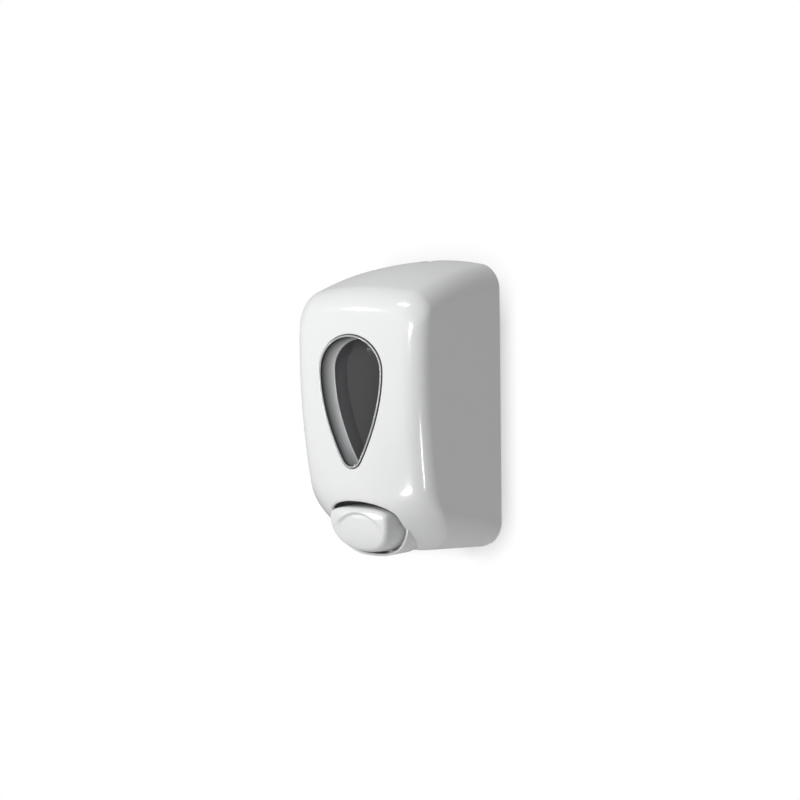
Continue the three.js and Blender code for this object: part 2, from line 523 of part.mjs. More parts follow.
// ---- lock -------------------------------------------------------------------------------------------
{
  const housing = turned([[3.5, 88], [4.6, 88], [4.6, 103.3], [5.8, 103.3], [5.8, 112], [3.5, 112]], "z", LOCK, 24);
  add("lock_housing", housing.intersect(coverForm(0.5, -RIM_GAP)), WHITE, 0.25);

  const hexagon = new THREE.Shape();
  for (let i = 0; i < 6; i++) {
    const angle = (i / 6) * 2 * Math.PI;
    hexagon[i ? "lineTo" : "moveTo"](8.5 * Math.cos(angle), LOCK_Y + 8.5 * Math.sin(angle));
  }
  hexagon.holes.push(new THREE.Path().absarc(0, LOCK_Y, 4.9, 0, 2 * Math.PI));
  add("lock_nut", column(hexagon, 95, 98.7), NATURAL, 0.45);

  let barrel = turned(rod(3.2, 86.3, 112), "z", LOCK, 20).intersect(coverForm(0.7, -RIM_GAP));
  barrel = barrel.add(box([-2, 2], [LOCK_Y - 2, LOCK_Y + 2], [CAM_Z - 0.8, 87]));
  barrel = barrel.subtract(box([-0.5, 0.5], [LOCK_Y - 2.3, LOCK_Y + 2.3], [103, 112]));
  barrel = barrel.subtract(turned(rod(1.4, 82, 90), "z", LOCK, 12));
  add("lock_barrel", barrel, WHITE, 0.25);

  let cam = turned(rod(5.5, CAM_Z - 1, CAM_Z + 1), "z", LOCK, 20);
  cam = cam.add(box([-4, 4], [LOCK_Y, LOCK_Y + 11], [CAM_Z - 1, CAM_Z + 1]));
  cam = cam.subtract(box([-2.3, 2.3], [LOCK_Y - 2.3, LOCK_Y + 2.3], [CAM_Z - 2, CAM_Z + 2]));
  add("lock_cam", cam, STEEL, 0.35, 1);

  const head = [[0, 81.3], [3.6, 81.3], [4, 81.9], [4, 83.4], [1.1, 83.4], [1.1, 89], [0, 89]];
  let screw = turned(head, "z", LOCK, 16);
  screw = screw.subtract(box([-2.6, 2.6], [LOCK_Y - 0.5, LOCK_Y + 0.5], [81, 82.1]));
  add("cam_screw", screw, STEEL, 0.3, 1);
}

export default group;
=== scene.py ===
# %% [markdown]
# # A wall mounted soap dispenser
# This file dresses a finished mechanical model. The frame holds the real parts, their places and
# their joints. Here each visible piece gets the surface a person would see on the real object:
# glossy moulded plastic, a sunken clear window, smoked plastic, rubber and steel.

# %% Load the frame
import math
import json

import bpy
import bmesh
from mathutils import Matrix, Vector


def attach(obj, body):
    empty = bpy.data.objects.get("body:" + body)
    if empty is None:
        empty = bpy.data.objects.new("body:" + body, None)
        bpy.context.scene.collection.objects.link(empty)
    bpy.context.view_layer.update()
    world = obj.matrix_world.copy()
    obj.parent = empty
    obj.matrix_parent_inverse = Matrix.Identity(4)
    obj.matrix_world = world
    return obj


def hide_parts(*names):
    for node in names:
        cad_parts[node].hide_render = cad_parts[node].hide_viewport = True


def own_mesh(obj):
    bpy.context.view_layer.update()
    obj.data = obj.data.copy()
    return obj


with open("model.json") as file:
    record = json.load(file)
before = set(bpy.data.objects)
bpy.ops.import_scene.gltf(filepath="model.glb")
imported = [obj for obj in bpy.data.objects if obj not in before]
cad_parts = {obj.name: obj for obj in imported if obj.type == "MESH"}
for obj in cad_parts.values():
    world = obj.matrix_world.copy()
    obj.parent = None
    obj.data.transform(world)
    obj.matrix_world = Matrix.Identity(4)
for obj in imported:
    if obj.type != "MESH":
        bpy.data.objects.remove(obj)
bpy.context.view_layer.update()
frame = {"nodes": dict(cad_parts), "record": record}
MM = 0.001
print("frame loaded:", len(frame["nodes"]), "nodes")

# %% [markdown]
# The camera stands at eye height for the object, forty degrees to its right, a metre and a half
# from the wall. A long lens keeps the perspective gentle. The wall face's centre is a little right
# of the frame's middle, so the camera aims slightly to the left of it.

# %% Camera
AZIMUTH = math.radians(40)
ELEVATION = math.radians(2)
DISTANCE = 1.5

towards = Vector((
    math.sin(AZIMUTH) * math.cos(ELEVATION),
    -math.cos(AZIMUTH) * math.cos(ELEVATION),
    math.sin(ELEVATION),
))
right = Vector((math.cos(AZIMUTH), math.sin(AZIMUTH), 0))
up = towards.cross(right)
AIM_LEFT = 31.2 * MM
AIM_UP = 2.4 * MM
aim = AIM_UP * up - AIM_LEFT * right

bpy.ops.object.select_all(action="DESELECT")
bpy.ops.object.camera_add(location=towards * DISTANCE)
camera = bpy.context.object
camera.data.lens = 87.75
camera.data.sensor_width = 36
camera.rotation_euler = (aim - camera.location).to_track_quat("-Z", "Y").to_euler()
bpy.context.scene.camera = camera
bpy.context.scene.view_settings.view_transform = "Standard"
print("camera at", [round(value, 3) for value in camera.location])

# %% [markdown]
# Soft studio light: an even pale surround, one broad key from the front left and above, and small
# bright panels, set once the cover is made, whose only work is to be mirrored in the glossy edges.

# %% Lights
def area_light(name, spot, size, energy, target=(0, -0.05, 0)):
    bpy.ops.object.select_all(action="DESELECT")
    bpy.ops.object.light_add(type="AREA", location=spot)
    light = bpy.context.object
    light.name = name
    light.data.shape = "RECTANGLE"
    light.data.size, light.data.size_y = size
    light.data.energy = energy
    light.rotation_euler = (Vector(target) - light.location).to_track_quat("-Z", "Y").to_euler()
    return light


key = area_light("key_panel", (-0.45, -1.85, 0.85), (0.9, 0.9), 29)
key.visible_glossy = False
lift = area_light("lower_fill", (0.08, -0.85, -1.0), (0.8, 0.8), 4.5)
lift.visible_glossy = False

world = bpy.data.worlds.new("pale_room")
bpy.context.scene.world = world
world.use_nodes = True
backdrop_light = world.node_tree.nodes["Background"]
backdrop_light.inputs["Color"].default_value = (1, 1, 1, 1)
backdrop_light.inputs["Strength"].default_value = 0.355
mirrored = world.node_tree.nodes.new("ShaderNodeBackground")
mirrored.inputs["Strength"].default_value = 0.65
seen = world.node_tree.nodes.new("ShaderNodeBackground")
seen.inputs["Color"].default_value = (0.98, 0.98, 0.98, 1)
seen.inputs["Strength"].default_value = 1.0
path = world.node_tree.nodes.new("ShaderNodeLightPath")
choose_mirrored = world.node_tree.nodes.new("ShaderNodeMixShader")
world.node_tree.links.new(path.outputs["Is Glossy Ray"], choose_mirrored.inputs[0])
world.node_tree.links.new(backdrop_light.outputs[0], choose_mirrored.inputs[1])
world.node_tree.links.new(mirrored.outputs[0], choose_mirrored.inputs[2])
choose = world.node_tree.nodes.new("ShaderNodeMixShader")
world.node_tree.links.new(path.outputs["Is Camera Ray"], choose.inputs[0])
world.node_tree.links.new(choose_mirrored.outputs[0], choose.inputs[1])
world.node_tree.links.new(seen.outputs[0], choose.inputs[2])
world.node_tree.links.new(choose.outputs[0], world.node_tree.nodes["World Output"].inputs[0])
print("lights:", [item.name for item in bpy.data.lights])

# %% [markdown]
# The stage is a pale floor and a white wall. The wall is one-sided, so that the back of the
# dispenser can still be looked at from behind. Its glow carries a painted shadow close to the
# object, made by ambient occlusion and kept weakest above it, as on a bright wall lit from above.

# %% Stage
FLOOR_BELOW = 0.9


def pale_material(name, colour):
    material = bpy.data.materials.new(name)
    material.use_nodes = True
    shader = material.node_tree.nodes["Principled BSDF"]
    shader.inputs["Base Color"].default_value = (*colour, 1)
    shader.inputs["Roughness"].default_value = 0.9
    return material


bpy.ops.object.select_all(action="DESELECT")
bpy.ops.mesh.primitive_plane_add(size=8, location=(0, 0, -FLOOR_BELOW))
floor = bpy.context.object
floor.name = "floor"
floor.data.materials.append(pale_material("pale_floor", (0.8, 0.8, 0.8)))

bpy.ops.object.select_all(action="DESELECT")
bpy.ops.mesh.primitive_plane_add(size=3, location=(0, 0.0004, 0), rotation=(math.pi / 2, 0, 0))
wall = bpy.context.object
wall.name = "wall"
wall.visible_diffuse = False
wall.visible_glossy = False
wall.visible_transmission = False
wall.visible_shadow = False
wall_with_painted_shadow = bpy.data.materials.new("wall_with_painted_shadow")
wall_with_painted_shadow.use_nodes = True
tree = wall_with_painted_shadow.node_tree
tree.nodes.clear()
output = tree.nodes.new("ShaderNodeOutputMaterial")
glow = tree.nodes.new("ShaderNodeEmission")
clear = tree.nodes.new("ShaderNodeBsdfTransparent")
side = tree.nodes.new("ShaderNodeNewGeometry")
mix = tree.nodes.new("ShaderNodeMixShader")
# Painted shadow: ambient occlusion dims the wall's glow next to the object.
painted_contact_shadow = tree.nodes.new("ShaderNodeAmbientOcclusion")
painted_contact_shadow.inputs["Distance"].default_value = 0.016
painted_contact_shadow.samples = 16
tone = tree.nodes.new("ShaderNodeMapRange")
tone.inputs["From Min"].default_value = 0.3
tone.inputs["To Max"].default_value = 1.0
split = tree.nodes.new("ShaderNodeSeparateXYZ")
# The painted shadow is made lighter above the object.
above = tree.nodes.new("ShaderNodeMapRange")
for socket, value in (("From Min", 0.06), ("From Max", 0.1), ("To Min", 0.55), ("To Max", 0.88)):
    above.inputs[socket].default_value = value
tree.links.new(side.outputs["Position"], split.inputs["Vector"])
tree.links.new(split.outputs["Z"], above.inputs["Value"])
tree.links.new(above.outputs["Result"], tone.inputs["To Min"])
tree.links.new(painted_contact_shadow.outputs["AO"], tone.inputs["Value"])
tree.links.new(tone.outputs["Result"], glow.inputs["Strength"])
tree.links.new(side.outputs["Backfacing"], mix.inputs[0])
tree.links.new(glow.outputs[0], mix.inputs[1])
tree.links.new(clear.outputs[0], mix.inputs[2])
tree.links.new(mix.outputs[0], output.inputs["Surface"])
wall.data.materials.append(wall_with_painted_shadow)
print("stage: floor and wall")

# %% [markdown]
# ## Finishes
# Moulded plastic is never a flat colour. It has a faint ripple from the mould, a little more shine
# where hands polish it, and a trace of dust in its tone. One node group makes all three, and each
# finish gives it its own amounts.

# %% Shared effects
def group_socket(group, name, kind, way, default=None):
    socket = group.interface.new_socket(name=name, in_out=way, socket_type=kind)
    if default is not None:
        socket.default_value = default


def moulded_skin():
    """Colour with faint tone drift, roughness with handling marks, and a rippled normal."""
    group = bpy.data.node_groups.new("moulded_skin", "ShaderNodeTree")
    group_socket(group, "Colour", "NodeSocketColor", "INPUT", (0.8, 0.8, 0.8, 1))
    group_socket(group, "Tone drift", "NodeSocketFloat", "INPUT", 0.02)
    group_socket(group, "Shine", "NodeSocketFloat", "INPUT", 0.25)
    group_socket(group, "Marks", "NodeSocketFloat", "INPUT", 0.05)
    group_socket(group, "Ripple", "NodeSocketFloat", "INPUT", 0.05)
    group_socket(group, "Grain size", "NodeSocketFloat", "INPUT", 60)
    group_socket(group, "Colour", "NodeSocketColor", "OUTPUT")
    group_socket(group, "Roughness", "NodeSocketFloat", "OUTPUT")
    group_socket(group, "Normal", "NodeSocketVector", "OUTPUT")
    nodes, links = group.nodes, group.links
    inward = nodes.new("NodeGroupInput")
    outward = nodes.new("NodeGroupOutput")
    place = nodes.new("ShaderNodeTexCoord")
    drift = nodes.new("ShaderNodeTexNoise")
    drift.inputs["Scale"].default_value = 14
    drift.inputs["Detail"].default_value = 3
    ripple = nodes.new("ShaderNodeTexNoise")
    ripple.inputs["Detail"].default_value = 2
    marks = nodes.new("ShaderNodeTexNoise")
    marks.inputs["Scale"].default_value = 55
    marks.inputs["Detail"].default_value = 5
    for texture in (drift, ripple, marks):
        links.new(place.outputs["Object"], texture.inputs["Vector"])
    links.new(inward.outputs["Grain size"], ripple.inputs["Scale"])
    darker = nodes.new("ShaderNodeHueSaturation")
    level = nodes.new("ShaderNodeMapRange")
    level.inputs["To Max"].default_value = 1.0
    low = nodes.new("ShaderNodeMath")
    low.operation = "SUBTRACT"
    low.inputs[0].default_value = 1.0
    links.new(inward.outputs["Tone drift"], low.inputs[1])
    links.new(low.outputs[0], level.inputs["To Min"])
    links.new(drift.outputs["Fac"], level.inputs["Value"])
    links.new(level.outputs["Result"], darker.inputs["Value"])
    links.new(inward.outputs["Colour"], darker.inputs["Color"])
    links.new(darker.outputs["Color"], outward.inputs["Colour"])
    rough = nodes.new("ShaderNodeMath")
    rough.operation = "MULTIPLY_ADD"
    links.new(marks.outputs["Fac"], rough.inputs[0])
    links.new(inward.outputs["Marks"], rough.inputs[1])
    links.new(inward.outputs["Shine"], rough.inputs[2])
    links.new(rough.outputs[0], outward.inputs["Roughness"])
    bump = nodes.new("ShaderNodeBump")
    bump.inputs["Distance"].default_value = 0.0002
    links.new(inward.outputs["Ripple"], bump.inputs["Strength"])
    links.new(ripple.outputs["Fac"], bump.inputs["Height"])
    links.new(bump.outputs["Normal"], outward.inputs["Normal"])
    return group


SKIN = moulded_skin()
print("group:", SKIN.name)

# %% Finishes made with the shared skin
def finish(name, colour, shine, ripple=0.05, grain=60, drift=0.02, marks=0.04, **plain):
    """A material: the skin group feeds colour, roughness and normal, plain sets the shader's sockets."""
    material = bpy.data.materials.new(name)
    material.use_nodes = True
    nodes, links = material.node_tree.nodes, material.node_tree.links
    shader = nodes["Principled BSDF"]
    skin = nodes.new("ShaderNodeGroup")
    skin.node_tree = SKIN
    skin.inputs["Colour"].default_value = (*colour, 1)
    skin.inputs["Tone drift"].default_value = drift
    skin.inputs["Shine"].default_value = shine
    skin.inputs["Marks"].default_value = marks
    skin.inputs["Ripple"].default_value = ripple
    skin.inputs["Grain size"].default_value = grain
    links.new(skin.outputs["Colour"], shader.inputs["Base Color"])
    links.new(skin.outputs["Roughness"], shader.inputs["Roughness"])
    links.new(skin.outputs["Normal"], shader.inputs["Normal"])
    for socket, value in plain.items():
        shader.inputs[socket.replace("_", " ")].default_value = value
    return material


def painted_light_by_value(material, attribute, low, high):
    """Paints light and shade into the skin's colour by a value kept on the piece's points, from low to high.
    """
    nodes, links = material.node_tree.nodes, material.node_tree.links
    value = nodes.new("ShaderNodeAttribute")
    value.attribute_name = attribute
    tone = nodes.new("ShaderNodeMix")
    tone.data_type = "RGBA"
    tone.inputs["A"].default_value = (*low, 1)
    tone.inputs["B"].default_value = (*high, 1)
    links.new(value.outputs["Fac"], tone.inputs["Factor"])
    for skin in [node for node in nodes if node.type == "GROUP"]:
        links.new(tone.outputs["Result"], skin.inputs["Colour"])


COVER_WHITE = finish(
    "cover_white", (0.83, 0.835, 0.84), 0.16, ripple=0.04, Coat_Weight=0.3, Coat_Roughness=0.05)
# The button's white is a little darker than the cover's: painted shade for its recessed, dished face.
BUTTON_SHADED_WHITE = finish(
    "button_white", (0.77, 0.775, 0.78), 0.2, ripple=0.05, Coat_Weight=0.2, Coat_Roughness=0.08)
PLATE_WHITE = finish("plate_white", (0.74, 0.74, 0.74), 0.4, ripple=0.12, grain=900)
WINDOW_CLEAR = finish(
    "window_clear", (0.5, 0.5, 0.51), 0.03, ripple=0.02, marks=0.03, Transmission_Weight=0.2, IOR=1.49)
TANK_SMOKE = finish(
    "tank_smoke", (0.05, 0.05, 0.055), 0.08, ripple=0.06, marks=0.06, Transmission_Weight=0.35, IOR=1.57)
PUMP_NATURAL = finish("pump_natural", (0.7, 0.7, 0.66), 0.35, ripple=0.1, grain=500)
RUBBER = finish("rubber", (0.025, 0.025, 0.026), 0.6, ripple=0.2, grain=1500)
STEEL = finish("steel", (0.62, 0.62, 0.63), 0.22, ripple=0.08, grain=300, marks=0.1, Metallic=1.0)
# The cup's colour is painted light and shade: dark pane, pale sloping wall, grey bead.
painted_light_by_value(WINDOW_CLEAR, "cup_painted_light_and_shade", (0.03, 0.03, 0.032), (0.86, 0.87, 0.88))
FINISH_OF_SLOT = {
    "cover_white": COVER_WHITE, "button_white": BUTTON_SHADED_WHITE, "plate_white": PLATE_WHITE,
    "window_clear": WINDOW_CLEAR, "tank_smoke": TANK_SMOKE, "pump_natural": PUMP_NATURAL,
    "rubber": RUBBER, "steel": STEEL,
}
for entry in frame["record"]["subparts"]:
    node = frame["nodes"][entry["node"]]
    node.data.materials.clear()
    node.data.materials.append(FINISH_OF_SLOT[entry["material_slot"]])
print("finishes:", sorted(FINISH_OF_SLOT))

# %% [markdown]
# ## How the moulded shells are made
# A moulded cover is a stack of outlines that change slowly from the wall to the front. So each
# shell starts as a circle primitive, and its edge is pulled out loop after loop, with every new
# loop laid along its own outline. A number kept on the points remembers which is which, so the
# pulls never twist. Both ends are closed by pulling the last loop together into one point.
# All sizes below are in millimetres, and become metres when points are laid.

# %% Pulling a skin out of a circle
def only(obj):
    bpy.ops.object.select_all(action="DESELECT")
    obj.select_set(True)
    bpy.context.view_layer.objects.active = obj


def lay_selected(obj, ring):
    """Lays the selected points along ring, by the number each point carries."""
    mesh = bmesh.from_edit_mesh(obj.data)
    layer = mesh.verts.layers.int["spot"]
    for point in mesh.verts:
        if point.select:
            point.co = Vector(ring[point[layer]]) * MM


def pulled_skin(name, rings, first_pole=None, last_pole=None):
    """A closed skin through rings of points, each pulled out of the one before it.

    Without poles the last ring is joined to the first, which makes a tube with a wall.
    """
    count = len(rings[0])
    bpy.ops.object.select_all(action="DESELECT")
    bpy.ops.mesh.primitive_circle_add(vertices=count, fill_type="NOTHING")
    obj = bpy.context.object
    obj.name = name
    obj.data.name = name
    bpy.ops.object.mode_set(mode="EDIT")
    bpy.ops.mesh.select_mode(type="VERT")
    mesh = bmesh.from_edit_mesh(obj.data)
    layer = mesh.verts.layers.int.new("spot")
    for number, point in enumerate(mesh.verts):
        point[layer] = number
    bpy.ops.mesh.select_all(action="SELECT")
    lay_selected(obj, rings[0])
    for ring in rings[1:] + [[last_pole] * count if last_pole else rings[0]]:
        bpy.ops.mesh.extrude_edges_move()
        lay_selected(obj, ring)
    if first_pole:
        mesh = bmesh.from_edit_mesh(obj.data)
        bpy.ops.mesh.select_all(action="DESELECT")
        for point in mesh.verts:
            start = Vector(rings[0][point[mesh.verts.layers.int["spot"]]]) * MM
            point.select = (point.co - start).length < 1e-8 and point.is_boundary
        mesh.select_flush(True)
        bpy.ops.mesh.extrude_edges_move()
        lay_selected(obj, [first_pole] * count)
    bpy.ops.mesh.select_all(action="SELECT")
    bpy.ops.mesh.remove_doubles(threshold=1e-7)
    bpy.ops.mesh.normals_make_consistent(inside=False)
    bpy.ops.object.mode_set(mode="OBJECT")
    return obj


# %% Simple stock, and joining or cutting with it
def settle(obj, name):
    obj.name = name
    obj.data.name = name
    only(obj)
    bpy.ops.object.transform_apply(location=True, rotation=True, scale=True)
    return obj


def block(x, y, z, round_off=0.0, name="block"):
    """A box between the given limits, with its edges rounded over."""
    limits = (x, y, z)
    middle = [(low + high) / 2 * MM for low, high in limits]
    bpy.ops.object.select_all(action="DESELECT")
    bpy.ops.mesh.primitive_cube_add(size=1, location=middle)
    obj = bpy.context.object
    obj.scale = [(high - low) * MM for low, high in limits]
    settle(obj, name)
    if round_off:
        bpy.ops.object.mode_set(mode="EDIT")
        bpy.ops.mesh.select_all(action="SELECT")
        bpy.ops.mesh.bevel(offset=round_off * MM, segments=3, affect="EDGES")
        bpy.ops.object.mode_set(mode="OBJECT")
    return obj


TURN = {"x": (0, math.pi / 2, 0), "y": (-math.pi / 2, 0, 0), "z": (0, 0, 0)}


def rod(radius, start, end, along, place, name="rod", sides=48):
    """A cylinder from start to end along an axis that passes through place."""
    spot = [value * MM for value in place]
    spot["xyz".index(along)] = (start + end) / 2 * MM
    bpy.ops.object.select_all(action="DESELECT")
    bpy.ops.mesh.primitive_cylinder_add(
        vertices=sides, radius=radius * MM, depth=abs(end - start) * MM, location=spot, rotation=TURN[along])
    return settle(bpy.context.object, name)


SOLVER = "MANIFOLD"


def work(obj, tools, how="DIFFERENCE"):
    """Cuts obj with each tool, or joins each tool to it, and takes the tool away."""
    for tool in tools:
        only(obj)
        step = obj.modifiers.new(how.lower(), "BOOLEAN")
        step.operation = how
        step.object = tool
        step.solver = SOLVER
        bpy.ops.object.modifier_apply(modifier=step.name)
        bpy.data.objects.remove(tool, do_unlink=True)
    return obj


SLOT_OF = {entry["node"]: entry["material_slot"] for entry in frame["record"]["subparts"]}


def hand_over(obj, node, body="root", angle=32):
    """Smooths and paints a finished piece, hangs it on its body and hides the node it stands for."""
    only(obj)
    bpy.ops.object.shade_smooth_by_angle(angle=math.radians(angle))
    obj.data.materials.clear()
    obj.data.materials.append(FINISH_OF_SLOT[SLOT_OF[node]])
    for polygon in obj.data.polygons:
        polygon.material_index = 0
    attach(obj, body)
    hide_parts(node)
    size = [round(value / MM, 1) for value in obj.dimensions]
    print(f"{obj.name}: {len(obj.data.polygons)} faces, {size} mm")


# %% The form of the cover
HALF_WIDTH = 61
TOP = 106.7
BOTTOM = -107.5
DEPTH = 104.5
RIM = -1.5
SHELL = 2.5
FULLEST = 37
LEAN_BELOW = 1100
LEAN_ABOVE = 511
CHIN_FROM = -60
CHIN_RADIUS = 34
CROWN = 290
CHIN_CROWN = 0.0096
SIDE_END = 0.87
EDGE_IN = 16
TOP_FALL = (5, 21.3, 13.8)
ARCH_RISE = 2.9
ARCH_HALF = 37
CHIN_RISE = 26.5
TAPER = (2.4, -5.3)
CORNER_TOP = (16.3, 0.4)
CORNER_LOW = (20.9, 18.2)
SIDE_SHARE = 0.3
STRAIGHTS = (34, 18, 34, 18)
CORNER_STEPS = 16


def front_depth(x, z):
    lean = (FULLEST - z) ** 2 / (2 * (LEAN_BELOW if z < FULLEST else LEAN_ABOVE))
    chin = max(0, CHIN_FROM - z) ** 2 / (2 * CHIN_RADIUS)
    drop = max(0, (FULLEST - z) / (FULLEST - BOTTOM))
    return DEPTH - lean - chin - x * x / 2 * (1 / CROWN + CHIN_CROWN * drop * drop)


def rounded_outline(corners):
    """Arcs joined by straights, anticlockwise from the lower right, each corner (x, z, radius)."""
    arcs = []
    for number, (x, z, radius) in enumerate(corners):
        turns = [math.radians(90 * (number - 1 + step / CORNER_STEPS)) for step in range(CORNER_STEPS + 1)]
        arcs.append([Vector((x + radius * math.cos(a), z + radius * math.sin(a))) for a in turns])
    outline = []
    for number, arc in enumerate(arcs):
        following = arcs[(number + 1) % 4][0]
        steps = STRAIGHTS[number]
        outline += arc + [arc[-1].lerp(following, step / steps) for step in range(1, steps)]
    return outline


def cover_ring(along, inset):
    """One loop of the cover: along is 0 at the wall and 1 at the edge of the front face."""
    turn = max(0, (along - SIDE_SHARE) / (1 - SIDE_SHARE)) * math.pi / 2
    edge = 1 - math.cos(turn)
    reach = min(SIDE_END * along / SIDE_SHARE, SIDE_END + (1 - SIDE_END) * math.sin(turn))
    top = TOP - inset - TOP_FALL[0] * reach - TOP_FALL[1] * reach ** 2 - TOP_FALL[2] * edge
    low = BOTTOM + inset + CHIN_RISE * edge
    half = HALF_WIDTH - inset - EDGE_IN * edge
    half_top = half - TAPER[0] - TAPER[1] * reach
    top_radius = CORNER_TOP[0] + CORNER_TOP[1] * reach - inset
    low_radius = CORNER_LOW[0] + CORNER_LOW[1] * reach - inset
    flat = rounded_outline([
        (half - low_radius, low + low_radius, low_radius),
        (half_top - top_radius, top - top_radius, top_radius),
        (top_radius - half_top, top - top_radius, top_radius),
        (low_radius - half, low + low_radius, low_radius),
    ])
    ring = []
    for x, flat_z in flat:
        z = flat_z + ARCH_RISE * max(0, flat_z / TOP) * (1 - (x / ARCH_HALF) ** 2)
        ring.append((x, min(RIM, -(front_depth(x, z) - inset) * reach), z))
    return ring


def cover_skin(name, inset, rear, side_loops=12, edge_loops=20, face_loops=16):
    """The whole form filled, from a flat rear at the given y to the front."""
    rings = [cover_ring(SIDE_SHARE * step / side_loops, inset) for step in range(side_loops)]
    rings += [
        cover_ring(SIDE_SHARE + (1 - SIDE_SHARE) * step / edge_loops, inset)
        for step in range(edge_loops + 1)
    ]
    rings[0] = [(x, rear, z) for x, _, z in rings[0]]
    edge = rings[-1]
    heights = [z for _, _, z in edge]
    middle = (max(heights) + min(heights)) / 2
    for step in range(1, face_loops):
        scale = 1 - step / face_loops
        face = [(x * scale, middle + (z - middle) * scale) for x, _, z in edge]
        rings.append([(x, -(front_depth(x, z) - inset), z) for x, z in face])
    return pulled_skin(name, rings, (0, rear, 0), (0, -(front_depth(0, middle) - inset), middle))


# %% The outlines of the window and of the button's opening
DROP = {"half": 31.3, "wide": 26, "top": 53, "tip": -45.5}


def bezier(p0, p1, p2, p3, steps):
    points = []
    for step in range(steps):
        t = step / steps
        s = 1 - t
        points.append(tuple(
            s ** 3 * a + 3 * s * s * t * b + 3 * s * t * t * c + t ** 3 * d
            for a, b, c, d in zip(p0, p1, p2, p3)))
    return points


def grown(points, amount):
    """The outline moved outwards by amount."""
    moved = []
    for number, (x, z) in enumerate(points):
        before, after = points[number - 1], points[(number + 1) % len(points)]
        way = Vector((after[0] - before[0], after[1] - before[1])).normalized()
        moved.append((x + amount * way.y, z - amount * way.x))
    return moved


def drop_outline(amount):
    half, wide, top, tip = DROP["half"], DROP["wide"], DROP["top"], DROP["tip"]
    right_side = bezier((0, tip), (4, tip), (7.5, tip + 1.8), (10.5, tip + 7), 12)
    right_side += bezier((10.5, tip + 7), (half - 5, -12), (half, wide - 15), (half, wide), 30)
    right_side += bezier((half, wide), (half, wide + 15), (half - 14, top), (0, top), 24)
    left_side = [(-x, z) for x, z in [(0, top)] + right_side[:0:-1]]
    return grown(right_side + left_side, amount)


def oval_outline(form, amount, count=144):
    """An oval that is widest at its middle height, each half with its own height and squareness."""
    points = []
    for number in range(count):
        angle = 2 * math.pi * number / count
        across, along = math.cos(angle), math.sin(angle)
        end, power = (form["top"], form["upper"]) if along >= 0 else (form["bottom"], form["lower"])
        tall = abs(end - form["middle"]) + amount
        points.append((
            (form["half"] + amount) * math.copysign(abs(across) ** (2 / power), across),
            form["middle"] + tall * math.copysign(abs(along) ** (2 / power), along)))
    return points


def smooth(value):
    value = min(1, max(0, value))
    return value * value * (3 - 2 * value)


print("window outline:", len(drop_outline(0)), "points")

# %% [markdown]
# ## The cover
# An outer form with an inner one taken out of it leaves an even moulded wall. The window and the
# button's opening are cut with tools whose edges flare, so the rims come out softly rounded as they
# do from a mould, and the short collar below the button is joined on before its opening is cut.

# %% Cover: shell and window opening
def front_rings(outline, steps):
    """Rings laid on the front: each step is (growth of the outline, depth behind the surface)."""
    return [[(x, -(front_depth(x, z) - depth), z) for x, z in outline(amount)] for amount, depth in steps]


def lip(radius, start=0.0, steps=5):
    """Growth and depth down a rounded lip, from on the surface to straight into the opening."""
    turns = [math.pi / 2 * step / steps for step in range(steps + 1)]
    return [(start + radius * (1 - math.sin(a)), radius * (1 - math.cos(a))) for a in turns[1:]]


cover = cover_skin("front_cover_shell", 0, RIM)
work(cover, [cover_skin("hollow", SHELL, 3)])
window_steps = [(1.6, -1.5), (0.95, -0.25)] + lip(0.8) + [(0, 30)]
window_tool = pulled_skin(
    "window_tool", front_rings(drop_outline, window_steps), (0, -DEPTH - 3, 20), (0, -60, 20))
work(cover, [window_tool])
work(cover, [block((-36.2, 36.2), (-10, 3), (-114, -104)), block((-70, 70), (-2.6, 3), (-114, -104))])
print("cover shell:", len(cover.data.polygons), "faces")

# %% Cover: collar, button opening and inner features
OPENING = {"half": 32.5, "middle": -81, "top": -69.3, "bottom": -109.3, "upper": 2, "lower": 2.8}
COLLAR = 1.8
LIP_Y = -77
THROAT_Y = -57.5
COLLAR_TOP = -88


def opening_front(x, z):
    """How far out the rim of the button's opening stands: the cover's face, or the collar's lip."""
    edge = min(1, max(0, (z - BOTTOM) / CHIN_RISE))
    face = front_depth(x, z) * (SIDE_END + (1 - SIDE_END) * math.sin(math.acos(1 - edge)))
    return -max(face, -LIP_Y) if z < COLLAR_TOP else -face


def collar_ring(y, amount, rise=1.0):
    outline = oval_outline(OPENING, amount)
    return [(x, y, max(z, z * rise + COLLAR_TOP * (1 - rise))) for x, z in outline]


opening_middle = (OPENING["top"] + OPENING["bottom"]) / 2
collar_steps = [
    (LIP_Y, COLLAR - 0.35, 1), (LIP_Y + 0.1, COLLAR - 0.1, 1), (LIP_Y + 0.35, COLLAR, 1),
    (THROAT_Y, COLLAR, 0.96), (-42, COLLAR, 0.8),
]
collar_rings = [collar_ring(*step) for step in collar_steps]
collar = pulled_skin("collar", collar_rings, (0, LIP_Y, opening_middle), (0, -42, opening_middle))
work(collar, [
    block((-50, 50), (-80, -30), (COLLAR_TOP, -50)),
    block((-50, 50), (THROAT_Y, -30), (BOTTOM + 2.6, -50)),
])
POST = (38.5, 0, -90)
LEFT_POST = (-38.5, 0, -90)
posts = [rod(4, -80, -56.8, "y", post) for post in (LEFT_POST, POST)]
boss = rod(8.5, 99, 112, "z", (0, -16, 0))
for stock in [boss] + posts:
    work(stock, [cover_skin("form", 0.2, RIM, 6, 10, 8)], "INTERSECT")
work(cover, [collar, boss] + posts, "UNION")
flare = [(2.2, -2.2), (1.15, -0.35)] + lip(1.0) + [(0, 6)]
flared = []
base = oval_outline(OPENING, 0)
